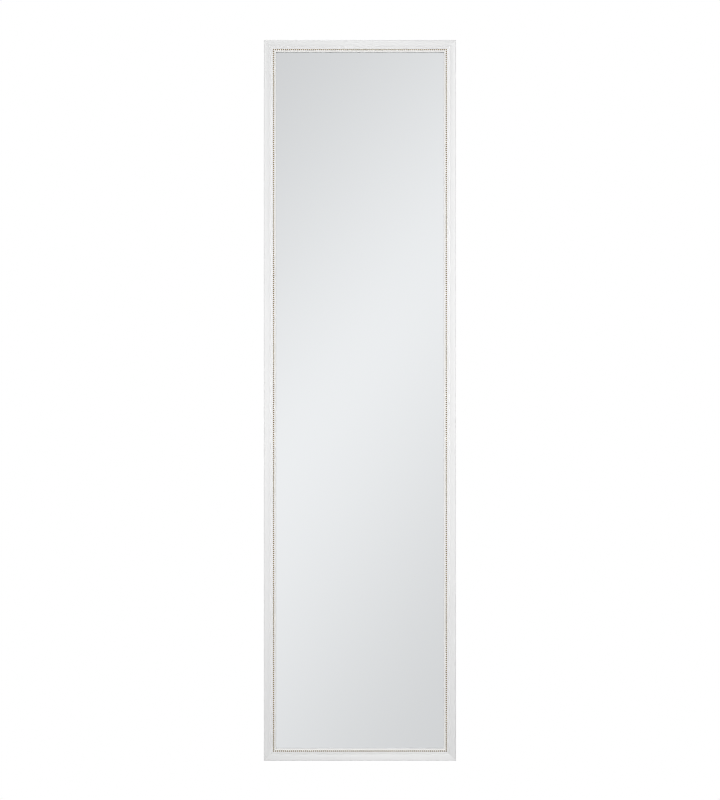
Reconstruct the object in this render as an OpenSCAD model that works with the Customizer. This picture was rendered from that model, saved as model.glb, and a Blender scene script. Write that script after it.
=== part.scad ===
// Over-the-door mirror: a tall framed dress mirror with a row of small beads round the
// glass, carried by two steel hooks that slide up from behind the frame and go over a
// door's top edge.
// Millimetres. +Z is up, the front looks towards -Y and the back plane of the frame is
// Y = 0. The origin is the centre of the top rail's back face.
// A rail is drawn in its own directions: u runs from its outer edge towards the glass,
// h runs from its back face to the front, and s runs along it from its middle.

/* [Glass and board] */
// Width of the mirror glass
glass_w = 304.8; // [200:0.1:450]
// Height of the mirror glass
glass_h = 1219.2; // [700:0.1:1600]
// Thickness of the mirror glass
glass_t = 3; // [2:0.1:5]
// Ground edge round the glass, each way
glass_arris = 0.4; // [0.2:0.1:0.8]
// Thickness of the hardboard behind the glass
board_t = 3; // [2:0.1:5]
// Gap from the glass and the board to the rabbet wall
glass_clear = 0.8; // [0.3:0.1:2]
// Depth of the board's back behind the frame's back plane
board_recess = 5; // [3:0.1:9]

/* [Rail moulding] */
// Width of the crowned outer band, which slopes towards the glass
band_w = 10.6; // [8:0.1:12]
// Distance from the outer edge to the top of the crown
crown_at = 2.8; // [2.4:0.1:5]
// Radius of the crown across the band
crown_r = 30; // [20:1:60]
// Radius of the outer front edge
edge_r = 1.8; // [0.8:0.1:2.2]
// Height of the crown above the fillet's ledge
crown_rise = 3.5; // [3:0.1:6]
// Width of the flat bottom of the groove inside the band
groove_w = 0.8; // [0.5:0.1:2]
// Width of the step between the groove and the fillet
step_w = 4.2; // [3:0.1:6]
// Height of the step above the groove
step_h = 0.8; // [0.4:0.1:1.2]
// Radius of the step's quarter-round
step_r = 1.6; // [1.3:0.1:2.4]
// Thickness of the lip in front of the glass
lip_t = 1.6; // [1.2:0.1:3]
// How far the lip covers the glass
lip_cover = 7.05; // [5:0.05:9]

/* [Beaded fillet] */
// Width of the fillet from the step to the sight edge
fillet_w = 5.2; // [5:0.1:9]
// Glue gap between the fillet and the step
fillet_clear = 0.05; // [0.05:0.05:0.3]
// Height of the flat that carries the beads above the ledge
bead_seat = 1.8; // [1.5:0.1:2.2]
// How far that flat lies below the top of the step
bead_sink = 0.5; // [0.2:0.1:0.8]
// Diameter of a bead
bead_d = 2.3; // [1.8:0.1:2.6]
// Gap on either side of the beads
bead_inset = 0.1; // [0.1:0.1:0.5]
// Wanted distance between beads, centre to centre
bead_pitch = 3.49; // [3:0.01:6]
// Height of the ridge beside the beads above their flat
ridge_rise = 0.2; // [0.1:0.1:0.6]
// Height of the fillet at the sight edge
fillet_edge = 0.7; // [0.4:0.1:1.2]

/* [Corner nails] */
// Length of each leg of a corner nail
nail_leg = 5; // [3:0.1:6]
// Thickness of a corner nail
nail_t = 0.6; // [0.4:0.1:1]
// How deep a corner nail reaches into the rail
nail_depth = 7; // [4:0.1:9]
// How far a corner nail lies below the back face
nail_sink = 0.3; // [0.1:0.1:1]
// Material left between a corner nail and the land's edges
nail_margin = 2; // [1:0.1:3]
// Number of nails in each corner
nail_count = 2; // [2:1:3]

/* [Glazing points] */
// Width of a glazing point
point_w = 6; // [4:0.1:10]
// Thickness of a glazing point
point_t = 0.5; // [0.3:0.1:1]
// How far a glazing point is driven into the rail
point_drive = 5; // [3:0.1:6]
// How far a glazing point reaches over the board
point_reach = 8; // [5:0.1:14]
// Length of the tapered end that is driven in
point_taper = 3; // [2:0.1:3]
// Largest distance between glazing points
point_pitch = 250; // [150:1:350]

/* [Hooks] */
// Width of the hook strip
strip_w = 16; // [12:0.1:24]
// Thickness of the hook strip
strip_t = 1.2; // [1:0.1:2]
// Running gap between the strip and the frame, and between the strip and the washers
strip_clear = 0.1; // [0.05:0.05:0.3]
// Distance from the strip's edge to the frame's outer edge
strip_inset = 0.6; // [0.3:0.1:3]
// Gap below the top rail's back face when a hook is pushed right down
stow_gap = 0.5; // [0.3:0.1:3]
// Inner radius of the hook's two bends
bend_r = 3.2; // [3:0.1:6]
// Thickest door that the hooks go over
door_max = 45; // [32:0.1:60]
// Spare room beside the thickest door
door_clear = 0.5; // [0.2:0.1:2]
// Height of the tongue that hangs behind the door
tongue_h = 30; // [22:0.1:60]
// Radius of the flare at the end of the tongue
flare_r = 14; // [8:0.1:20]
// Angle of the flare at the end of the tongue
flare_a = 25; // [10:1:40]
// Radius of the rounded corners at the strip's ends
strip_corner_r = 4; // [2:0.1:5.5]
// Distance a hook slides up
hook_travel = 70; // [40:1:90]
// Distance from the top of the hook to the slot's upper centre
slot_from_top = 18; // [14:0.1:30]
// Gap round a screw in the slot
slot_clear = 0.35; // [0.2:0.05:0.8]
// Strip left below the slot
slot_end = 8; // [5:0.1:14]

/* [Screws and washers] */
// Diameter of the screw shank
screw_d = 3.5; // [3:0.1:4.5]
// Material left between a screw and the rabbet
screw_wall = 2.65; // [1.5:0.05:5]
// Length of the screw below its head
screw_l = 12; // [9:0.1:14]
// Length of the screw's point
screw_tip = 2.5; // [1:0.1:4]
// Diameter of the screw head
head_d = 7; // [6:0.1:9]
// Height of the screw head
head_h = 2.2; // [1.6:0.1:3]
// Height of the dome on the screw head
head_crown = 1.3; // [0.6:0.1:1.6]
// Length of each arm of the cross recess
cross_l = 3.6; // [2.5:0.1:4]
// Width of each arm of the cross recess
cross_w = 0.8; // [0.6:0.1:1]
// Depth of the cross recess
cross_depth = 1.2; // [0.8:0.1:1.5]
// Distance between the two screws of a hook
screw_pitch = 40; // [25:0.1:60]
// Outer diameter of a washer
washer_d = 10; // [8.5:0.1:12]
// Gap round a screw in a washer
washer_clear = 0.2; // [0.1:0.05:0.5]
// Thickness of a washer
washer_t = 0.8; // [0.6:0.1:1.2]

/* [Bumpers] */
// Land left round a bumper
bumper_margin = 1; // [0.5:0.1:2]
// How far a bumper stands out beyond the screw heads
bumper_over = 0.6; // [0.2:0.1:3]
// Bevel round the bumper's face
bumper_bevel = 0.6; // [0.2:0.1:1.2]
// Height of the bumper's centre above the frame's bottom edge
bumper_up = 25; // [16:0.1:80]

/* [Hidden] */

// Depths, from the back plane to the front
rabbet_d = board_recess + board_t + glass_t;
ledge_h = rabbet_d + lip_t;
rail_d = ledge_h + crown_rise;
// Widths, from the outer edge to the glass
ledge_u = band_w + groove_w + step_w;
fillet_u = ledge_u + fillet_clear;
rail_w = fillet_u + fillet_w;
back_land = rail_w - lip_cover - glass_clear;
bead_u = fillet_u + bead_inset + bead_d / 2;
ridge_u = bead_u + bead_d / 2 + bead_inset;
// The frame
frame_w = glass_w + 2 * (glass_clear + back_land);
frame_h = glass_h + 2 * (glass_clear + back_land);
top_z = back_land / 2;
mid_z = top_z - frame_h / 2;
bottom_z = top_z - frame_h;
// The screws and washers, from the strip outwards
washer_y = strip_t + 2 * strip_clear;
head_y = washer_y + washer_t;
washer_bore = screw_d + 2 * washer_clear;
head_dome = (head_d * head_d / 4 + head_crown * head_crown) / (2 * head_crown);
screw_x = frame_w / 2 - back_land + screw_wall + screw_d / 2;
// The bumpers
bumper_t = head_y + head_h + bumper_over;
bumper_d = back_land - 2 * bumper_margin;
// The hooks
bend_out = bend_r + strip_t;
hook_x = frame_w / 2 - strip_inset - strip_w / 2;
hook_top = -back_land / 2 - stow_gap;
tongue_y = bumper_t + door_max + door_clear;
slot_w = screw_d + 2 * slot_clear;
slot_top = hook_top - slot_from_top;
slot_low = slot_top - screw_pitch - hook_travel;
hook_low = slot_low - slot_w / 2 - slot_end;
tongue_low = hook_top - tongue_h;
// Curves, cutting room and colours
arc_n = 12;
round_n = 48;
bead_n = 24;
cut = 1;
white = [0.93, 0.93, 0.92];
champagne = [0.72, 0.66, 0.53];
silvered = [0.85, 0.88, 0.89];
hardboard = [0.45, 0.31, 0.19];
zinc = [0.70, 0.71, 0.72];
rubber = [0.17, 0.17, 0.17];

// Points of an arc about c from angle a0 to angle a1
function arc(c, r, a0, a1) =
  [for (i = [0:arc_n]) let (a = a0 + (a1 - a0) * i / arc_n) c + r * [cos(a), sin(a)]];

// Places of the glazing points along one side of the glass
function point_places(glass_l) =
  let (n = max(2, ceil(glass_l / point_pitch)))
  [for (i = [0:n - 1]) (i + 0.5) * glass_l / n - glass_l / 2];

// Outline of the moulding in u and h: back land, outer wall, crowned band, groove, step
// with a quarter-round, ledge for the fillet, lip and rabbet
function rail_outline() =
  let (
    crown_c = [crown_at, rail_d - crown_r],
    edge_c = crown_c + [edge_r - crown_at, sqrt(pow(crown_r - edge_r, 2) - pow(crown_at - edge_r, 2))],
    meet_a = atan2(edge_c.y - crown_c.y, edge_c.x - crown_c.x),
    band_a = acos((band_w - crown_at) / crown_r),
    step_top = ledge_h + bead_seat + bead_sink,
    step_a = acos((step_r - step_h) / step_r),
    step_c = [band_w + groove_w + step_r * sin(step_a), step_top - step_r]
  )
  concat(
    [[0, 0]],
    arc(edge_c, edge_r, 180, meet_a),
    arc(crown_c, crown_r, meet_a, band_a),
    [[band_w, step_top - step_h]],
    arc(step_c, step_r, 90 + step_a, 90),
    [[ledge_u, step_top], [ledge_u, ledge_h]],
    [[rail_w, ledge_h], [rail_w, rabbet_d], [back_land, rabbet_d], [back_land, 0]]
  );

// Outline of the fillet in u and h: flat for the beads, ridge, and slope to the sight edge
function fillet_outline() = [
  [fillet_u, ledge_h],
  [fillet_u, ledge_h + bead_seat],
  [ridge_u, ledge_h + bead_seat],
  [ridge_u, ledge_h + bead_seat + ridge_rise],
  [rail_w, ledge_h + fillet_edge],
  [rail_w, ledge_h]
];

// Turns a rail's own directions into the frame's, at the top, right, bottom or left
module at_side(turn, half_span) {
  translate([0, 0, mid_z]) rotate([0, turn, 0]) translate([0, 0, half_span])
    rotate([180, 90, 0]) children();
}

module at_top() { at_side(0, frame_h / 2) children(); }

module at_right() { at_side(90, frame_w / 2) children(); }

module at_bottom() { at_side(180, frame_h / 2) children(); }

module at_left() { at_side(270, frame_w / 2) children(); }

// Cuts both ends of a rail or a fillet at 45 degrees, for a side of outer length l
module mitred(l) {
  intersection() {
    children();
    translate([0, -cut, 0]) rotate([-90, 0, 0]) linear_extrude(height = rail_d + 2 * cut)
      polygon([
        [-cut, l / 2 + cut],
        [rail_w + cut, l / 2 - rail_w - cut],
        [rail_w + cut, -l / 2 + rail_w + cut],
        [-cut, -l / 2 - cut]
      ]);
  }
}

// The corner nails at the far end of a side of outer length l, as driven plates or, with
// open set, as the pockets that they sit in
module nails(l, open = false) {
  low = open ? -cut : nail_sink;
  tall = nail_sink + nail_depth - low;
  step = (back_land - 2 * nail_margin - nail_leg) / (nail_count - 1);
  for (i = [0:nail_count - 1]) {
    at = nail_margin + i * step;
    translate([at, low, l / 2 - at - nail_t]) cube([nail_leg, tall, nail_t]);
    translate([at, low, l / 2 - at - nail_leg]) cube([nail_t, tall, nail_leg]);
  }
}

// The glazing points of a side whose glass edge is glass_l long
module points(glass_l) {
  for (s = point_places(glass_l))
    translate([back_land, board_recess - point_t, s]) rotate([-90, 0, 0])
      linear_extrude(height = point_t)
        polygon([
          [point_reach, point_w / 2],
          [point_reach, -point_w / 2],
          [point_taper - point_drive, -point_w / 2],
          [-point_drive, 0],
          [point_taper - point_drive, point_w / 2]
        ]);
}

// One rail of outer length l, with pockets for its nails and points
module rail(l, glass_l) {
  color(white) difference() {
    mitred(l) linear_extrude(height = l, center = true) polygon(rail_outline());
    nails(l, open = true);
    mirror([0, 0, 1]) nails(l, open = true);
    points(glass_l);
  }
}

// One fillet of outer length l: a strip with its row of beads, one bead in each corner
module bead_fillet(l) {
  row = l - 2 * bead_u;
  gaps = round(row / bead_pitch);
  mitred(l) union() {
    color(white) linear_extrude(height = l, center = true) polygon(fillet_outline());
    color(champagne) for (i = [0:gaps])
      translate([bead_u, ledge_h + bead_seat, row * (i / gaps - 0.5)]) sphere(d = bead_d, $fn = bead_n);
  }
}

module top_rail() { at_top() rail(frame_w, glass_w); }

module bottom_rail() { at_bottom() rail(frame_w, glass_w); }

module left_rail() {
  color(white) difference() {
    at_left() rail(frame_h, glass_h);
    screw_holes(-1);
  }
}

module right_rail() {
  color(white) difference() {
    at_right() rail(frame_h, glass_h);
    screw_holes(1);
  }
}

module top_bead_fillet() { at_top() bead_fillet(frame_w); }

module bottom_bead_fillet() { at_bottom() bead_fillet(frame_w); }

module left_bead_fillet() { at_left() bead_fillet(frame_h); }

module right_bead_fillet() { at_right() bead_fillet(frame_h); }

// Outline of a pane of width w with its two faces' edges ground
function pane_outline(w) = [
  [-w / 2, glass_arris],
  [-w / 2 + glass_arris, 0],
  [w / 2 - glass_arris, 0],
  [w / 2, glass_arris],
  [w / 2, glass_t - glass_arris],
  [w / 2 - glass_arris, glass_t],
  [-w / 2 + glass_arris, glass_t],
  [-w / 2, glass_t - glass_arris]
];

module mirror_glass() {
  color(silvered) translate([0, -rabbet_d, mid_z]) intersection() {
    linear_extrude(height = glass_h, center = true) polygon(pane_outline(glass_w));
    rotate([0, -90, 0]) linear_extrude(height = glass_w, center = true)
      polygon(pane_outline(glass_h));
  }
}

module backing_board() {
  color(hardboard) translate([-glass_w / 2, -board_recess - board_t, mid_z - glass_h / 2])
    cube([glass_w, board_t, glass_h]);
}

module top_glazing_points() { color(zinc) at_top() points(glass_w); }

module bottom_glazing_points() { color(zinc) at_bottom() points(glass_w); }

module left_glazing_points() { color(zinc) at_left() points(glass_h); }

module right_glazing_points() { color(zinc) at_right() points(glass_h); }

module top_left_corner_nails() { color(zinc) at_top() nails(frame_w); }

module top_right_corner_nails() { color(zinc) at_right() nails(frame_h); }

module bottom_right_corner_nails() { color(zinc) at_bottom() nails(frame_w); }

module bottom_left_corner_nails() { color(zinc) at_left() nails(frame_h); }

// Side view of the bent strip in y and z: leg, two bends, tongue and flare
function hook_outline() =
  let (
    leg_y = strip_clear,
    bend_1 = [leg_y + bend_out, hook_top - bend_out],
    bend_2 = [tongue_y + strip_t - bend_out, hook_top - bend_out],
    flare_c = [tongue_y + strip_t + flare_r, tongue_low + (flare_r + strip_t) * sin(flare_a)]
  )
  concat(
    [[leg_y, hook_low]],
    arc(bend_1, bend_out, 180, 90),
    arc(bend_2, bend_out, 90, 0),
    arc(flare_c, flare_r, 180, 180 + flare_a),
    arc(flare_c, flare_r + strip_t, 180 + flare_a, 180),
    arc(bend_2, bend_r, 0, 90),
    arc(bend_1, bend_r, 90, 180),
    [[leg_y + strip_t, hook_low]]
  );

// What is cut away to round the two lower corners of a strip end, which lies between y0 and
// y1 and ends at height z
module corner_cuts(y0, y1, z) {
  deep = y1 - y0;
  block = strip_corner_r + cut;
  for (side = [-1, 1])
    translate([side * (strip_w / 2 - strip_corner_r), y0, z + strip_corner_r])
      difference() {
        translate([side > 0 ? 0 : -block, 0, -block]) cube([block, deep, block]);
        translate([0, -cut, 0]) rotate([-90, 0, 0])
          cylinder(r = strip_corner_r, h = deep + 2 * cut, $fn = round_n);
      }
}

// A hook pushed right down behind the frame, with its adjusting slot over the screws
module hook(side) {
  leg_back = strip_clear + strip_t + cut;
  color(zinc) difference() {
    translate([side * hook_x, 0, 0]) difference() {
      rotate([90, 0, 90]) linear_extrude(height = strip_w, center = true)
        polygon(hook_outline());
      corner_cuts(-cut, leg_back, hook_low);
      corner_cuts(tongue_y - cut, tongue_y + flare_r, tongue_low);
    }
    translate([side * screw_x, -cut, 0]) {
      translate([-slot_w / 2, 0, slot_low]) cube([slot_w, leg_back + cut, slot_top - slot_low]);
      for (z = [slot_low, slot_top])
        translate([0, 0, z]) rotate([-90, 0, 0])
          cylinder(d = slot_w, h = leg_back + cut, $fn = round_n);
    }
  }
}

module left_hook() { hook(-1); }

module right_hook() { hook(1); }

// Puts something on the axis of each of a hook's two screws, looking out of the back
module at_screws(side) {
  for (z = [slot_top, slot_top - screw_pitch])
    translate([side * screw_x, 0, z]) rotate([-90, 0, 0]) children();
}

module screw_holes(side) {
  at_screws(side) translate([0, 0, head_y - screw_l]) screw_shank();
}

// The screw below its head, with its point at the bottom
module screw_shank() {
  rotate_extrude($fn = round_n)
    polygon([[0, 0], [screw_d / 2, screw_tip], [screw_d / 2, screw_l], [0, screw_l]]);
}

module screw() {
  translate([0, 0, head_y - screw_l]) screw_shank();
  translate([0, 0, head_y]) difference() {
    intersection() {
      cylinder(d = head_d, h = head_h, $fn = round_n);
      translate([0, 0, head_h - head_dome]) sphere(r = head_dome, $fn = round_n);
    }
    for (turn = [0, 90])
      rotate([0, 0, turn]) translate([-cross_l / 2, -cross_w / 2, head_h - cross_depth])
        cube([cross_l, cross_w, cross_depth + cut]);
  }
}

module washer() {
  translate([0, 0, washer_y]) difference() {
    cylinder(d = washer_d, h = washer_t, $fn = round_n);
    translate([0, 0, -cut]) cylinder(d = washer_bore, h = washer_t + 2 * cut, $fn = round_n);
  }
}

module left_hook_screws() { color(zinc) at_screws(-1) screw(); }

module right_hook_screws() { color(zinc) at_screws(1) screw(); }

module left_hook_washers() { color(zinc) at_screws(-1) washer(); }

module right_hook_washers() { color(zinc) at_screws(1) washer(); }

// A soft round bumper on the back of a side rail, near its lower end
module bumper(side) {
  color(rubber) translate([side * (frame_w / 2 - back_land / 2), 0, bottom_z + bumper_up])
    rotate([-90, 0, 0]) rotate_extrude($fn = round_n)
      polygon([
        [0, 0],
        [bumper_d / 2, 0],
        [bumper_d / 2, bumper_t - bumper_bevel],
        [bumper_d / 2 - bumper_bevel, bumper_t],
        [0, bumper_t]
      ]);
}

module left_bumper() { bumper(-1); }

module right_bumper() { bumper(1); }

top_rail();
bottom_rail();
left_rail();
right_rail();
top_bead_fillet();
bottom_bead_fillet();
left_bead_fillet();
right_bead_fillet();
mirror_glass();
backing_board();
top_glazing_points();
bottom_glazing_points();
left_glazing_points();
right_glazing_points();
top_left_corner_nails();
top_right_corner_nails();
bottom_left_corner_nails();
bottom_right_corner_nails();
left_hook();
right_hook();
left_hook_washers();
right_hook_washers();
left_hook_screws();
right_hook_screws();
left_bumper();
right_bumper();
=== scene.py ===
"""Over-the-door mirror: the looks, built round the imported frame. Metres, +Z up, front towards -Y."""

import math

import bmesh
import bpy
from mathutils import Matrix, Vector


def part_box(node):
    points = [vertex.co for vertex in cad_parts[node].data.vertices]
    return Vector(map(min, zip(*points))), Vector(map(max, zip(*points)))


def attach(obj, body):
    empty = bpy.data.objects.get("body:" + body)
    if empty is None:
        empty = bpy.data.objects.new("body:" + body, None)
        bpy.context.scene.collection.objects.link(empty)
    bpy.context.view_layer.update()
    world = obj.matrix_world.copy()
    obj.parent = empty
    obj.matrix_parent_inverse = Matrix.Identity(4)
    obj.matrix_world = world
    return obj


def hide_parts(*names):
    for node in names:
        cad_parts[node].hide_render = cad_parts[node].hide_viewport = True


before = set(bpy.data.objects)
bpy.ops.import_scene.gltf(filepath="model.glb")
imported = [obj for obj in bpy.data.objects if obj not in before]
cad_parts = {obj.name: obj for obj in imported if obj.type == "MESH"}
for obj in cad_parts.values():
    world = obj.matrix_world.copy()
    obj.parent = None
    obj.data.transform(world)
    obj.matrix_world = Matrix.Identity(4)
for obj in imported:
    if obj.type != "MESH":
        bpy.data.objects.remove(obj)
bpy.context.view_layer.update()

# ---------------------------------------------------------------------------------------------
# Rails. Four lengths of white moulding, extruded in polystyrene with a satin skin: a band that
# slopes to the glass, a groove and a step. Cut at 45 degrees and nailed together from behind.
# The saw leaves a hairline at each mitre, and the die leaves faint lines along the length.
# ---------------------------------------------------------------------------------------------


class Socket:
    """The output of a node. Each sum or product of sockets and numbers adds a Math node."""

    def __init__(self, nodes, link):
        self.nodes = nodes
        self.link = link

    def math(self, operation, *others):
        return self.nodes.math(operation, self, *others)

    def __add__(self, other):
        return self.math("ADD", other)

    def __mul__(self, other):
        return self.math("MULTIPLY", other)

    def __sub__(self, other):
        return self.math("SUBTRACT", other)

    def __truediv__(self, other):
        return self.math("DIVIDE", other)

    def __rsub__(self, other):
        return self.nodes.math("SUBTRACT", other, self)

    def __rtruediv__(self, other):
        return self.nodes.math("DIVIDE", other, self)

    __radd__ = __add__
    __rmul__ = __mul__


class Nodes:
    """The nodes of one material or of one repeated shape."""

    def __init__(self, tree):
        self.tree = tree

    def socket(self, sockets, name):
        """One of a node's sockets, by its number, its identifier or its name."""
        if isinstance(name, int):
            return sockets[name]
        return next((s for s in sockets if s.identifier == name), None) or sockets[name]

    def feed(self, place, value):
        """Links a socket to an input, or sets the input's own value."""
        if isinstance(value, Socket):
            self.tree.links.new(value.link, place)
        elif place.type == "RGBA":
            place.default_value = (*value, 1)
        else:
            place.default_value = value

    def add(self, kind, settings={}, inputs={}, output=0):
        """A new node, with its settings made before its inputs, as one of its outputs."""
        node = self.tree.nodes.new(kind)
        for name, value in settings.items():
            if name == "stops":
                while len(node.color_ramp.elements) < len(value):
                    node.color_ramp.elements.new(1)
                for element, (place, level) in zip(node.color_ramp.elements, value):
                    element.position = place
                    element.color = (level, level, level, 1)
            else:
                setattr(node, name, value)
        for name, value in inputs.items():
            self.feed(self.socket(node.inputs, name), value)
        return Socket(self, self.socket(node.outputs, output))

    def math(self, operation, *values):
        """A Math node on sockets and numbers, in their order."""
        return self.add("ShaderNodeMath", {"operation": operation}, dict(enumerate(values)))


class Finish(Nodes):
    """A material in the making, with the patterns that several finishes share."""

    def __init__(self, name, plain={}):
        self.material = bpy.data.materials.new(name)
        self.material.use_nodes = True
        super().__init__(self.material.node_tree)
        self.shader = self.tree.nodes["Principled BSDF"]
        self.place = self.add("ShaderNodeTexCoord", output="Object")
        for socket, value in plain.items():
            self.set(socket, value)

    def set(self, socket, value):
        self.feed(self.shader.inputs[socket], value)

    def noise(self, per_metre, detail=2, roughness=0.5):
        """Noise from 0 to 1, with that many blotches to a metre along X, Y and Z."""
        scaled = self.add("ShaderNodeMapping", {}, {"Vector": self.place, "Scale": per_metre})
        return self.add(
            "ShaderNodeTexNoise", {},
            {"Vector": scaled, "Scale": 1, "Detail": detail, "Roughness": roughness}, "Fac",
        )

    def ramp(self, value, *stops):
        return self.add("ShaderNodeValToRGB", {"stops": stops}, {"Fac": value})

    def mix(self, share, first, second):
        return self.add(
            "ShaderNodeMix", {"data_type": "RGBA"},
            {"Factor_Float": share, "A_Color": first, "B_Color": second}, "Result_Color",
        )

    def bump(self, height, depth, strength=1):
        """Height from 0 to 1 as a relief of that depth in metres."""
        relief = self.add(
            "ShaderNodeBump", {}, {"Strength": strength, "Distance": depth, "Height": height}, "Normal",
        )
        self.set("Normal", relief)


def satin_white(name, along, warmth=0):
    """White plastic skin with die lines along X or Z. Warmth takes that share of blue out."""
    finish = Finish(name, {"Specular IOR Level": 0.5})
    fine, stretched = 900, 8
    die_lines = finish.noise(
        (stretched, fine, fine) if along == "x" else (fine, fine, stretched), detail=3,
    )
    peel = finish.noise((450, 450, 450), detail=1)
    clouds = finish.noise((22, 22, 22), detail=3)
    blue = 1 - warmth
    green = 1 - warmth * 0.3
    finish.set("Base Color", finish.mix(
        clouds, (0.845, 0.848 * green, 0.85 * blue), (0.875, 0.875 * green, 0.872 * blue),
    ))
    finish.set("Roughness", 0.34 + clouds * 0.06 + die_lines * 0.05)
    finish.bump(peel * 0.6 + die_lines * 0.4, depth=0.00001, strength=0.5)
    return finish.material


def new_piece(name, mesh):
    """An object at the origin that carries the mesh."""
    piece = bpy.data.objects.new(name, mesh)
    bpy.context.scene.collection.objects.link(piece)
    return piece


def eased(piece, edge, angle=35):
    """Rounds by that many metres each edge of a piece that turns by more than the angle in degrees."""
    piece.data.shade_smooth()
    bevel = piece.modifiers.new("rounding", "BEVEL")
    bevel.width = edge
    bevel.segments = 2
    bevel.limit_method = "ANGLE"
    bevel.angle_limit = math.radians(angle)
    bevel.harden_normals = True
    return piece


def merged_copy(node, name):
    """The CAD node's shape as one closed mesh, in a piece of its own."""
    shape = bmesh.new()
    shape.from_mesh(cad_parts[node].data)
    bmesh.ops.remove_doubles(shape, verts=shape.verts, dist=2e-6)
    bmesh.ops.dissolve_limit(
        shape, angle_limit=math.radians(0.5), verts=shape.verts, edges=shape.edges,
        use_dissolve_boundaries=False,
    )
    mesh = bpy.data.meshes.new(name)
    shape.to_mesh(mesh)
    shape.free()
    return new_piece(name, mesh)


def dressed(piece, material):
    """Gives the whole piece one material."""
    piece.data.materials.clear()
    piece.data.materials.append(material)


def finished(piece, material, body, node):
    """Dresses a piece with one material, hangs it on its body and hides the CAD node that it stands for."""
    dressed(piece, material)
    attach(piece, body)
    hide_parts(node)


mitre_edge = 0.00012
across_white = satin_white("satin_white_across", "x")
upright_white = satin_white("satin_white_upright", "z")
for side, white in {
    "top": across_white, "bottom": across_white, "left": upright_white, "right": upright_white,
}.items():
    rail = eased(merged_copy(side + "_rail", side + "_rail_moulding"), mitre_edge)
    finished(rail, white, "frame", side + "_rail")

# ---------------------------------------------------------------------------------------------
# Beaded fillets. A thin white strip glued against the step on all four sides, mitred, with a row
# of champagne plated beads half sunk in its flat. Inside the beads it slopes down to the glass.
# The count of beads is chosen so that one bead sits in each corner.
# ---------------------------------------------------------------------------------------------

frame_low, frame_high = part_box("left_rail")
half_height = (frame_high.z - frame_low.z) / 2
half_width = -frame_low.x
middle = frame_high.z - half_height
fillet_low, fillet_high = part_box("top_bead_fillet")
fillet_outer = frame_high.z - fillet_high.z
fillet_inner = frame_high.z - fillet_low.z
ledge = -fillet_high.y
bead_width = 0.0023
bead_gap = 0.0001
bead_pitch = 0.00349
bead_seat = -fillet_low.y - bead_width / 2
ridge_rise = 0.0002
sight_rise = 0.0007
strip_edge = 0.0001
row_inset = fillet_outer + bead_gap + bead_width / 2
slope_start = fillet_outer + 2 * bead_gap + bead_width


def joined_loops(name, loops, run_round=False):
    """A closed mesh between loops of equally many points, with filled ends or run round."""
    shape = bmesh.new()
    rings = [[shape.verts.new(point) for point in loop] for loop in loops]
    pairs = list(zip(rings, rings[1:] + rings[:1]))
    if not run_round:
        pairs.pop()
        shape.faces.new(rings[0])
        shape.faces.new(rings[-1])
    for ring, after in pairs:
        for i in range(len(ring)):
            j = (i + 1) % len(ring)
            shape.faces.new((ring[i], ring[j], after[j], after[i]))
    bmesh.ops.remove_doubles(shape, verts=shape.verts, dist=1e-7)
    bmesh.ops.delete(shape, geom=[e for e in shape.edges if not e.link_faces], context="EDGES")
    bmesh.ops.recalc_face_normals(shape, faces=shape.faces)
    mesh = bpy.data.meshes.new(name)
    shape.to_mesh(mesh)
    shape.free()
    return mesh


def repeated_shape(name, inputs):
    """An empty geometry tree with named inputs: its nodes, and the inputs as sockets."""
    nodes = Nodes(bpy.data.node_groups.new(name, "GeometryNodeTree"))
    for label, kind in inputs.items():
        nodes.tree.interface.new_socket(label, in_out="INPUT", socket_type="NodeSocket" + kind)
    nodes.tree.interface.new_socket("Result", in_out="OUTPUT", socket_type="NodeSocketGeometry")
    given = nodes.tree.nodes.new("NodeGroupInput")
    return nodes, [Socket(nodes, given.outputs[i]) for i in range(len(inputs))]


def end_tree(nodes, copies, material):
    """Makes the copies plain mesh, dresses them and ends the tree."""
    real = nodes.add("GeometryNodeRealizeInstances", {}, {"Geometry": copies})
    dressed = nodes.add("GeometryNodeSetMaterial", {}, {"Geometry": real, "Material": material})
    result = nodes.tree.nodes.new("NodeGroupOutput")
    nodes.tree.links.new(dressed.link, result.inputs[0])
    return nodes.tree


def bead_row_tree(material):
    """A row of beads along X, with some at its ends left to the rows that cross it."""
    nodes, (length, pitch, width, inset, seat, left_out) = repeated_shape("bead_row", {
        "Row Length": "Float",
        "Pitch": "Float",
        "Bead Width": "Float",
        "Inset": "Float",
        "Seat Height": "Float",
        "End Beads Left Out": "Float",
    })
    gaps = (length / pitch).math("ROUND")
    step = length / gaps
    start = length * -0.5 + step * left_out
    line = nodes.add(
        "GeometryNodeMeshLine", {},
        {
            "Count": gaps + 1 - left_out * 2,
            "Start Location": nodes.add("ShaderNodeCombineXYZ", {}, {0: start, 1: seat * -1, 2: inset * -1}),
            "Offset": nodes.add("ShaderNodeCombineXYZ", {}, {0: step}),
        },
    )
    ball = nodes.add("GeometryNodeMeshUVSphere", {}, {"Segments": 12, "Rings": 5, "Radius": width * 0.5})
    smooth = nodes.add("GeometryNodeSetShadeSmooth", {}, {"Geometry": ball})
    facing = nodes.add(
        "GeometryNodeTransform", {}, {"Geometry": smooth, "Rotation": (math.radians(90), 0, 0)},
    )
    row = nodes.add("GeometryNodeInstanceOnPoints", {}, {"Points": line, "Instance": facing})
    tone = nodes.add("FunctionNodeRandomValue", {"data_type": "FLOAT"}, {"Seed": 7}, "Value_001")
    toned = nodes.add(
        "GeometryNodeStoreNamedAttribute", {"data_type": "FLOAT", "domain": "INSTANCE"},
        {"Geometry": row, "Name": "bead_tone", "Value": tone},
    )
    return end_tree(nodes, toned, material)


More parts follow.
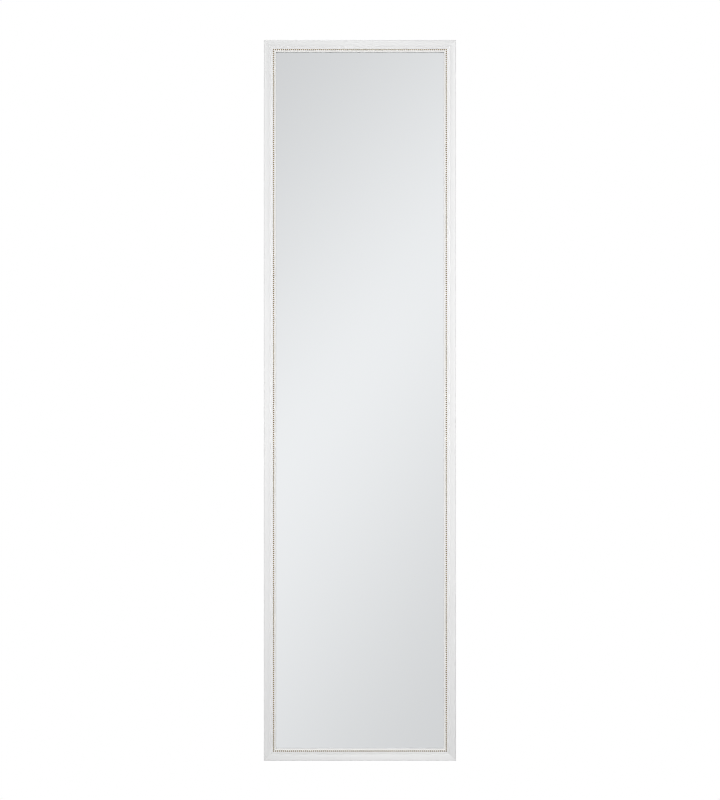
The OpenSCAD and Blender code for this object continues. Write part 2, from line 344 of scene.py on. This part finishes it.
def shaped_by(piece, tree, sizes):
    """Runs a geometry tree on a piece, with its named sizes, and keeps the result as plain mesh."""
    modifier = piece.modifiers.new(tree.name, "NODES")
    modifier.node_group = tree
    for item in tree.interface.items_tree:
        if item.in_out == "INPUT" and item.name in sizes:
            modifier[item.identifier] = sizes[item.name]
    evaluated = piece.evaluated_get(bpy.context.evaluated_depsgraph_get())
    mesh = bpy.data.meshes.new_from_object(evaluated)
    piece.modifiers.remove(modifier)
    piece.data = mesh


champagne = Finish("champagne_beads", {"Metallic": 1})
bead_tone = champagne.add("ShaderNodeAttribute", {"attribute_name": "bead_tone"}, {}, "Fac")
tarnish = champagne.noise((1500, 1500, 1500), detail=2)
champagne.set(
    "Base Color", champagne.mix(bead_tone * 0.6 + tarnish * 0.4, (0.22, 0.165, 0.075), (0.32, 0.245, 0.118)),
)
champagne.set("Roughness", 0.26 + tarnish * 0.12)

warm_across = satin_white("warm_white_across", "x", warmth=0.03)
warm_upright = satin_white("warm_white_upright", "z", warmth=0.03)
strip_corners = (
    (fillet_outer, ledge),
    (fillet_outer, bead_seat),
    (slope_start, bead_seat),
    (slope_start, bead_seat + ridge_rise),
    (fillet_inner, ledge + sight_rise),
    (fillet_inner, ledge),
)
bead_tree = bead_row_tree(champagne.material)
for side, turn, half_length, half_span, left_out, white in (
    ("top", 0, half_width, half_height, 0, warm_across),
    ("right", 90, half_height, half_width, 1, warm_upright),
    ("bottom", 180, half_width, half_height, 0, warm_across),
    ("left", 270, half_height, half_width, 1, warm_upright),
):
    in_place = (
        Matrix.Translation((0, 0, middle)) @ Matrix.Rotation(math.radians(turn), 4, "Y")
        @ Matrix.Translation((0, 0, half_span))
    )
    mitres = [
        [(end * (half_length - inwards), -forwards, -inwards) for inwards, forwards in strip_corners]
        for end in (-1, 1)
    ]
    strip = new_piece(side + "_fillet_strip", joined_loops(side + "_fillet_strip", mitres))
    strip.data.transform(in_place)
    finished(eased(strip, strip_edge, angle=20), white, "frame", side + "_bead_fillet")
    beads = new_piece(side + "_bead_row", bpy.data.meshes.new(side + "_bead_row"))
    shaped_by(beads, bead_tree, {
        "Row Length": 2 * (half_length - row_inset),
        "Pitch": bead_pitch,
        "Bead Width": bead_width,
        "Inset": row_inset,
        "Seat Height": bead_seat,
        "End Beads Left Out": left_out,
    })
    beads.data.transform(in_place)
    finished(beads, champagne.material, "frame", side + "_bead_fillet")

# ---------------------------------------------------------------------------------------------
# Mirror. A 3 mm sheet of float glass, silvered on its back, with ground edges that the rabbet
# hides. The reflection seems to start a little behind the lip, because it comes from the back of
# the glass, so the plate's face is set back inside a hidden border. Cleaning left faint smears.
# ---------------------------------------------------------------------------------------------

glass_low, glass_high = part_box("mirror_glass")
glass_arris = 0.0004
silver_depth = 0.0011
hidden_border = 0.0025
corner_signs = ((-1, -1), (1, -1), (1, 1), (-1, 1))
edge_half = Vector((glass_high.x, (glass_high.z - glass_low.z) / 2))
flat_half = edge_half - Vector((glass_arris, glass_arris))
shown_half = Vector((half_width - fillet_inner + hidden_border, half_height - fillet_inner + hidden_border))
plate_loops = [
    [(x * half.x, y, middle + z * half.y) for x, z in corner_signs]
    for half, y in (
        (flat_half, glass_high.y),
        (edge_half, glass_high.y - glass_arris),
        (edge_half, glass_low.y + glass_arris),
        (flat_half, glass_low.y),
        (shown_half, glass_low.y),
        (shown_half, glass_low.y + silver_depth),
    )
]
silver = Finish("silvered_glass", {"Metallic": 1, "Base Color": (0.845, 0.862, 0.876)})
smears = silver.noise((9, 9, 3), detail=4)
silver.set("Roughness", silver.ramp(smears, (0.45, 0.0), (0.8, 0.012)))
plate = new_piece("mirror_plate", joined_loops("mirror_plate", plate_loops))
finished(plate, silver.material, "frame", "mirror_glass")

# ---------------------------------------------------------------------------------------------
# Backing. A 3 mm sheet of brown hardboard in the rabbet behind the glass: pressed wood fibre,
# smooth but mottled, with short pale and dark fibres in its face.
# ---------------------------------------------------------------------------------------------

hardboard = Finish("hardboard", {"Specular IOR Level": 0.35})
mottle = hardboard.noise((14, 14, 14), detail=4)
pressed = hardboard.noise((170, 170, 150), detail=3, roughness=0.6)
fibres = hardboard.noise((1500, 1500, 420), detail=4, roughness=0.7)
crossed = hardboard.noise((420, 1500, 1500), detail=4, roughness=0.7)
specks = hardboard.noise((900, 900, 900), detail=2, roughness=0.6)
pale_fibres = hardboard.ramp(fibres, (0.54, 0), (0.74, 1)) + hardboard.ramp(crossed, (0.56, 0), (0.76, 1))
dark_specks = hardboard.ramp(specks, (0.27, 1), (0.4, 0))
board_tone = hardboard.mix(mottle * 0.5 + pressed * 0.5, (0.175, 0.094, 0.046), (0.255, 0.142, 0.072))
board_tone = hardboard.mix(pale_fibres * 0.45, board_tone, (0.40, 0.255, 0.14))
board_tone = hardboard.mix(dark_specks * 0.5, board_tone, (0.09, 0.045, 0.022))
hardboard.set("Base Color", board_tone)
hardboard.set("Roughness", 0.5 + fibres * 0.15 + crossed * 0.1)
hardboard.bump(fibres * 0.35 + crossed * 0.35 + specks * 0.3, depth=0.00008, strength=0.5)
dressed(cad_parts["backing_board"], hardboard.material)

# ---------------------------------------------------------------------------------------------
# Glazing points and corner nails. Thin zinc plated steel: points driven sideways into the
# rabbet wall to hold the board, and angled nails driven across each mitre from behind.
# ---------------------------------------------------------------------------------------------

zinc = Finish("zinc_plate", {"Metallic": 1})
spangle = zinc.noise((260, 260, 260), detail=2)
scuffs = zinc.noise((90, 90, 1400), detail=3)
zinc.set("Base Color", zinc.mix(spangle, (0.40, 0.41, 0.43), (0.56, 0.56, 0.555)))
zinc.set("Roughness", 0.27 + spangle * 0.1 + scuffs * 0.12)
zinc.bump(scuffs, depth=0.00002, strength=0.5)
for node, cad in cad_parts.items():
    if node.endswith(("_points", "_nails")):
        dressed(cad, zinc.material)

# ---------------------------------------------------------------------------------------------
# Hooks. Zinc plated steel strip, slotted, sheared and bent twice so that it drops over the top
# edge of a door. Tumbling has eased its edges and the rolling shows as fine lines along it.
# ---------------------------------------------------------------------------------------------

strip_steel = Finish("brushed_strip", {"Metallic": 1})
rolling = strip_steel.noise((2600, 24, 24), detail=4, roughness=0.6)
patches = strip_steel.noise((60, 60, 25), detail=2)
strip_steel.set("Base Color", strip_steel.mix(rolling, (0.38, 0.385, 0.395), (0.56, 0.56, 0.56)))
strip_steel.set("Roughness", 0.24 + rolling * 0.16 + patches * 0.08)
strip_steel.bump(rolling, depth=0.00002, strength=0.6)
sheared_edge = 0.00018
for side in ("left", "right"):
    hook = eased(merged_copy(side + "_hook", side + "_hook_strap"), sheared_edge)
    finished(hook, strip_steel.material, side + "_hook_body", side + "_hook")

# ---------------------------------------------------------------------------------------------
# Washers and screws. Two pan head screws with a cross recess and a washer each hold a hook. The
# heads are cold formed, with a soft rim and a dome, and the punch leaves four tapered wings. The
# washers are stamped, so their upper edge is rolled over. The shanks sit in the side rails.
# ---------------------------------------------------------------------------------------------

screws_low, screws_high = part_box("left_hook_screws")
washers_low, washers_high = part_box("left_hook_washers")
head_radius = (screws_high.x - screws_low.x) / 2
screw_spacing = screws_high.z - screws_low.z - 2 * head_radius
screw_place = Vector(((screws_low.x + screws_high.x) / 2, 0, screws_high.z - head_radius))
washer_radius = (washers_high.x - washers_low.x) / 2
washer_bore = 0.0039
shank_radius = 0.00175
tip_length = 0.0025
head_height = 0.0022
rim_height = 0.0009
rim_round = 0.0003
dome_inset = 0.7 * rim_round
recess_edge = 0.00005
recess_rings = (  # half a cross's length, half its arm's width, and its height over the head
    (0.0021, 0.00052, 0.0003),
    (0.0018, 0.00042, -0.0002),
    (0.0011, 0.00030, -0.0012),
    (0.0004, 0.00012, -0.0015),
)
washer_roll = 0.00025
bore_roll = 0.00012
most_turn = math.radians(160)


def arc(centre, radius, start, end, steps):
    """Points on an arc as (radius, height), between two angles in degrees."""
    angles = [math.radians(start + (end - start) * i / steps) for i in range(steps + 1)]
    return [(centre[0] + radius * math.cos(a), centre[1] + radius * math.sin(a)) for a in angles]


def turned(name, outline, turns=48):
    """A mesh from an outline, as (radius, height) points, turned round the Y axis."""
    loops = []
    for i in range(turns):
        angle = 2 * math.pi * i / turns
        loops.append([(r * math.cos(angle), height, r * math.sin(angle)) for r, height in outline])
    mesh = joined_loops(name, loops, run_round=True)
    mesh.shade_smooth()
    mesh.set_sharp_from_angle(angle=math.radians(38))
    return mesh


def cross_loop(reach, half_arm, height):
    """The twelve corners of a cross, that high above the frame's back."""
    loop = []
    for quarter in range(4):
        turn = Matrix.Rotation(math.radians(90 * quarter), 2)
        for corner in ((reach, -half_arm), (reach, half_arm), (half_arm, half_arm)):
            x, z = turn @ Vector(corner)
            loop.append((x, height, z))
    return loop


def pan_head_screw():
    """One screw on the Y axis, with its head outwards and the recess punched in."""
    base = washers_high.y
    top = base + head_height
    rise = head_height - rim_height
    dome_radius = (head_radius ** 2 + rise ** 2) / (2 * rise)
    dome_side = math.degrees(math.acos((head_radius - dome_inset) / dome_radius))
    outline = [(0, screws_low.y), (shank_radius, screws_low.y + tip_length), (shank_radius, base)]
    outline += arc((head_radius - rim_round, base + rim_round), rim_round, -90, 0, 4)
    outline += arc((0, top - dome_radius), dome_radius, dome_side, 90, 9)
    screw = new_piece("screw", turned("screw", outline))
    punch = new_piece("punch", joined_loops("punch", [
        cross_loop(reach, half_arm, top + over) for reach, half_arm, over in recess_rings
    ]))
    recess = screw.modifiers.new("recess", "BOOLEAN")
    recess.operation = "DIFFERENCE"
    recess.solver = "EXACT"
    recess.object = punch
    eased(screw, recess_edge, angle=30)
    mesh = bpy.data.meshes.new_from_object(screw.evaluated_get(bpy.context.evaluated_depsgraph_get()))
    bpy.data.objects.remove(screw)
    bpy.data.objects.remove(punch)
    return mesh


def pressed_washer():
    """One washer on the Y axis, with its rolled edge outwards."""
    bore = washer_bore / 2
    outline = [(bore, washers_low.y), (washer_radius, washers_low.y)]
    outline += arc((washer_radius - washer_roll, washers_high.y - washer_roll), washer_roll, 0, 90, 4)
    outline += arc((bore + bore_roll, washers_high.y - bore_roll), bore_roll, 90, 180, 3)
    return turned("washer", outline)


def hook_pair_tree(material):
    """Two of the shape that comes in, one above the other, each turned by chance."""
    nodes, (shape, upper, spacing, turn) = repeated_shape("pair_on_a_hook", {
        "Shape": "Geometry",
        "Upper Place": "Vector",
        "Spacing": "Float",
        "Most Turn": "Float",
    })
    places = nodes.add(
        "GeometryNodeMeshLine", {},
        {
            "Count": 2,
            "Start Location": upper,
            "Offset": nodes.add("ShaderNodeCombineXYZ", {}, {2: spacing * -1}),
        },
    )
    chance = nodes.add("FunctionNodeRandomValue", {"data_type": "FLOAT"}, {"Seed": 3}, "Value_001")
    copies = nodes.add(
        "GeometryNodeInstanceOnPoints", {},
        {
            "Points": places,
            "Instance": shape,
            "Rotation": nodes.add("ShaderNodeCombineXYZ", {}, {1: chance * turn}),
        },
    )
    return end_tree(nodes, copies, material)


pair_tree = hook_pair_tree(zinc.material)
screw_shape = pan_head_screw()
washer_shape = pressed_washer()
for side, sign in (("left", 1), ("right", -1)):
    for part, shape in (("washers", washer_shape), ("screws", screw_shape)):
        pair = new_piece(side + "_hook_" + part + "_plated", shape)
        shaped_by(pair, pair_tree, {
            "Upper Place": (sign * screw_place.x, 0, screw_place.z),
            "Spacing": screw_spacing,
            "Most Turn": sign * most_turn,
        })
        finished(pair, zinc.material, "frame", side + "_hook_" + part)

# ---------------------------------------------------------------------------------------------
# Bumpers. Round pads of black rubber, moulded with a slight taper and a soft shoulder, and glued
# near the foot of each side rail. Their flat faces keep the frame off the door.
# ---------------------------------------------------------------------------------------------

bumper_low, bumper_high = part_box("left_bumper")
pad_radius = (bumper_high.x - bumper_low.x) / 2
pad_height = bumper_high.y
pad_taper = 0.00025
pad_shoulder = 0.0008
foot_round = 0.0002
rubber = Finish("black_rubber", {"Specular IOR Level": 0.4})
grain = rubber.noise((1800, 1800, 1800), detail=2)
rubber_dust = rubber.noise((160, 160, 160), detail=3)
rubber.set("Base Color", rubber.mix(rubber_dust, (0.016, 0.016, 0.017), (0.045, 0.044, 0.043)))
rubber.set("Roughness", 0.62 + grain * 0.2)
rubber.bump(grain, depth=0.00004, strength=0.6)
pad_outline = [(0, 0)]
pad_outline += arc((pad_radius - foot_round, foot_round), foot_round, -90, 0, 3)
pad_outline += arc((pad_radius - pad_taper - pad_shoulder, pad_height - pad_shoulder), pad_shoulder, 0, 90, 7)
pad_outline += [(0, pad_height)]
for side, sign in (("left", 1), ("right", -1)):
    pad = new_piece(side + "_bumper_pad", turned(side + "_bumper_pad", pad_outline))
    pad.data.transform(Matrix.Translation((
        sign * (bumper_low.x + bumper_high.x) / 2, 0, (bumper_low.z + bumper_high.z) / 2,
    )))
    finished(pad, rubber.material, "frame", side + "_bumper")

# ---------------------------------------------------------------------------------------------
# Stage. A level camera, a white surround, a pale floor below the hanging mirror and a shaded card
# behind the camera that only reflections see. A key lamp lights the front from above, two fills
# lift its middle and its top edge, and a pair lights the back.
# ---------------------------------------------------------------------------------------------

camera_distance = 2.7
camera_aside = 0.0001
camera_lift = 0.0006
outline_depth = -0.0143
picture_height = 1.3838
film_side = 36
camera_data = bpy.data.cameras.new("camera")
camera_data.sensor_fit = "VERTICAL"
camera_data.sensor_height = film_side
camera_data.sensor_width = film_side
camera_data.lens = film_side * camera_distance / picture_height
camera_data.clip_start = 0.1
camera_data.clip_end = 60
camera = bpy.data.objects.new("camera", camera_data)
camera.location = (camera_aside, outline_depth - camera_distance, middle + camera_lift)
camera.rotation_euler = (math.radians(90), 0, 0)
bpy.context.scene.collection.objects.link(camera)
bpy.context.scene.camera = camera


def seen_plainly(nodes):
    """1 for rays from the camera, from gloss and through glass, and 0 for the light itself."""
    from_camera, from_gloss, through_glass = (
        nodes.add("ShaderNodeLightPath", output=name)
        for name in ("Is Camera Ray", "Is Glossy Ray", "Is Transmission Ray")
    )
    return (from_camera + from_gloss + through_glass).math("MINIMUM", 1)


surround_light = 0.08
world = bpy.data.worlds.new("surround")
world.use_nodes = True
bpy.context.scene.world = world
sky = Nodes(world.node_tree)
background = world.node_tree.nodes["Background"]
sky.feed(background.inputs["Color"], (1, 1, 1))
sky.feed(background.inputs["Strength"], seen_plainly(sky) * (1 - surround_light) + surround_light)

floor_drop = 0.76
floor_radius = 2.9
pale_until = 0.35
white_from = 0.88
shape = bmesh.new()
bmesh.ops.create_circle(shape, cap_ends=True, segments=96, radius=floor_radius)
floor_mesh = bpy.data.meshes.new("floor")
shape.to_mesh(floor_mesh)
shape.free()
floor = new_piece("floor", floor_mesh)
floor.location = (0, 0, frame_low.z - floor_drop)
pale = Finish("pale_floor", {"Roughness": 0.9, "Specular IOR Level": 0})
from_middle = pale.add("ShaderNodeVectorMath", {"operation": "LENGTH"}, {0: pale.place}, "Value")
rim = pale.ramp(from_middle / floor_radius, (pale_until, 0), (white_from, 1))
floor_grain = pale.noise((40, 40, 40), detail=3)
pale.set("Base Color", pale.mix(floor_grain, (0.79, 0.79, 0.79), (0.81, 0.81, 0.81)))
white_glow = pale.add("ShaderNodeEmission", {}, {"Color": (1, 1, 1), "Strength": 1})
pale_skin = Socket(pale, pale.shader.outputs[0])
blend = pale.add("ShaderNodeMixShader", {}, {0: rim * seen_plainly(pale), 1: pale_skin, 2: white_glow})
pale.tree.links.new(blend.link, pale.tree.nodes["Material Output"].inputs["Surface"])
floor_mesh.materials.append(pale.material)

card_distance = 3.6
card_half = Vector((1.6, 0, 2.6))
border_start = 0.55
spread = (camera_distance + card_distance) / camera_distance
shape = bmesh.new()
shape.faces.new([
    shape.verts.new((x * card_half.x, 0, z * card_half.z)) for x, z in corner_signs
])
card_mesh = bpy.data.meshes.new("reflected_card")
shape.to_mesh(card_mesh)
shape.free()
card = new_piece("reflected_card", card_mesh)
card.location = (0, -card_distance, middle)
shade = Finish("shaded_card")
apart = shade.add("ShaderNodeSeparateXYZ", {}, {0: shade.place}).link.node
across = Socket(shade, apart.outputs["X"])
upward = Socket(shade, apart.outputs["Z"])


def falloff(direction, start, width):
    """0 before start, 1 past start + width, along a direction in degrees, as seen in the mirror."""
    angle = math.radians(direction)
    along = across * (math.cos(angle) / spread) + upward * (math.sin(angle) / spread)
    return shade.add(
        "ShaderNodeMapRange", {"interpolation_type": "SMOOTHSTEP"},
        {"Value": along, "From Min": start, "From Max": start + width},
    )


def border(place, half):
    """1 in the middle of the card and 0 at its border."""
    return shade.add(
        "ShaderNodeMapRange", {"interpolation_type": "SMOOTHSTEP"},
        {"Value": place.math("ABSOLUTE"), "From Min": half, "From Max": half * border_start},
    )


upper_left_shade = falloff(direction=135, start=-0.01, width=0.64) * 0.27
lower_right_shade = falloff(direction=-35, start=-0.09, width=0.61) * 0.245
inside = border(across, card_half.x) * border(upward, card_half.z)
brightness = 1 - (upper_left_shade + lower_right_shade) * inside
card_white = shade.mix(brightness, (0, 0, 0), (1, 1, 1))
card_glow = shade.add("ShaderNodeEmission", {}, {"Color": card_white, "Strength": 1})
shade.tree.links.new(card_glow.link, shade.tree.nodes["Material Output"].inputs["Surface"])
card_mesh.materials.append(shade.material)
card.visible_camera = False
card.visible_diffuse = False
card.visible_shadow = False
card.visible_transmission = False


def soft_lamp(name, place, aim, power, width, height, in_gloss=False):
    """A soft box that the camera doesn't see, in watts and metres. Only some show as a highlight."""
    data = bpy.data.lights.new(name, "AREA")
    data.shape = "RECTANGLE"
    data.size = width
    data.size_y = height
    data.energy = power
    lamp = bpy.data.objects.new(name, data)
    lamp.location = place
    lamp.rotation_euler = (Vector(aim) - Vector(place)).to_track_quat("-Z", "Y").to_euler()
    lamp.visible_camera = False
    lamp.visible_glossy = in_gloss
    bpy.context.scene.collection.objects.link(lamp)


object_middle = (0, 0, middle)
soft_lamp(
    "key_above", place=(-1.2, -4.6, middle + 3.0), aim=object_middle,
    power=115, width=2.4, height=2.4, in_gloss=True,
)
soft_lamp(
    "fill_front", place=(0.3, -1.4, middle + 0.11), aim=(0, 0, middle + 0.11),
    power=11.4, width=0.8, height=0.7,
)
soft_lamp(
    "fill_top", place=(0, 0.35, middle + 2.7), aim=(0, 0, middle + 0.6),
    power=14, width=1.6, height=0.6,
)
for sign in (-1, 1):
    soft_lamp(
        "fill_behind", place=(sign * 2.7, 2.2, middle + 1.2), aim=object_middle,
        power=72, width=1.8, height=1.8,
    )

bpy.context.scene.view_settings.view_transform = "Standard"
bpy.context.scene.cycles.denoising_prefilter = "NONE"
bpy.context.scene.cycles.filter_width = 1.1
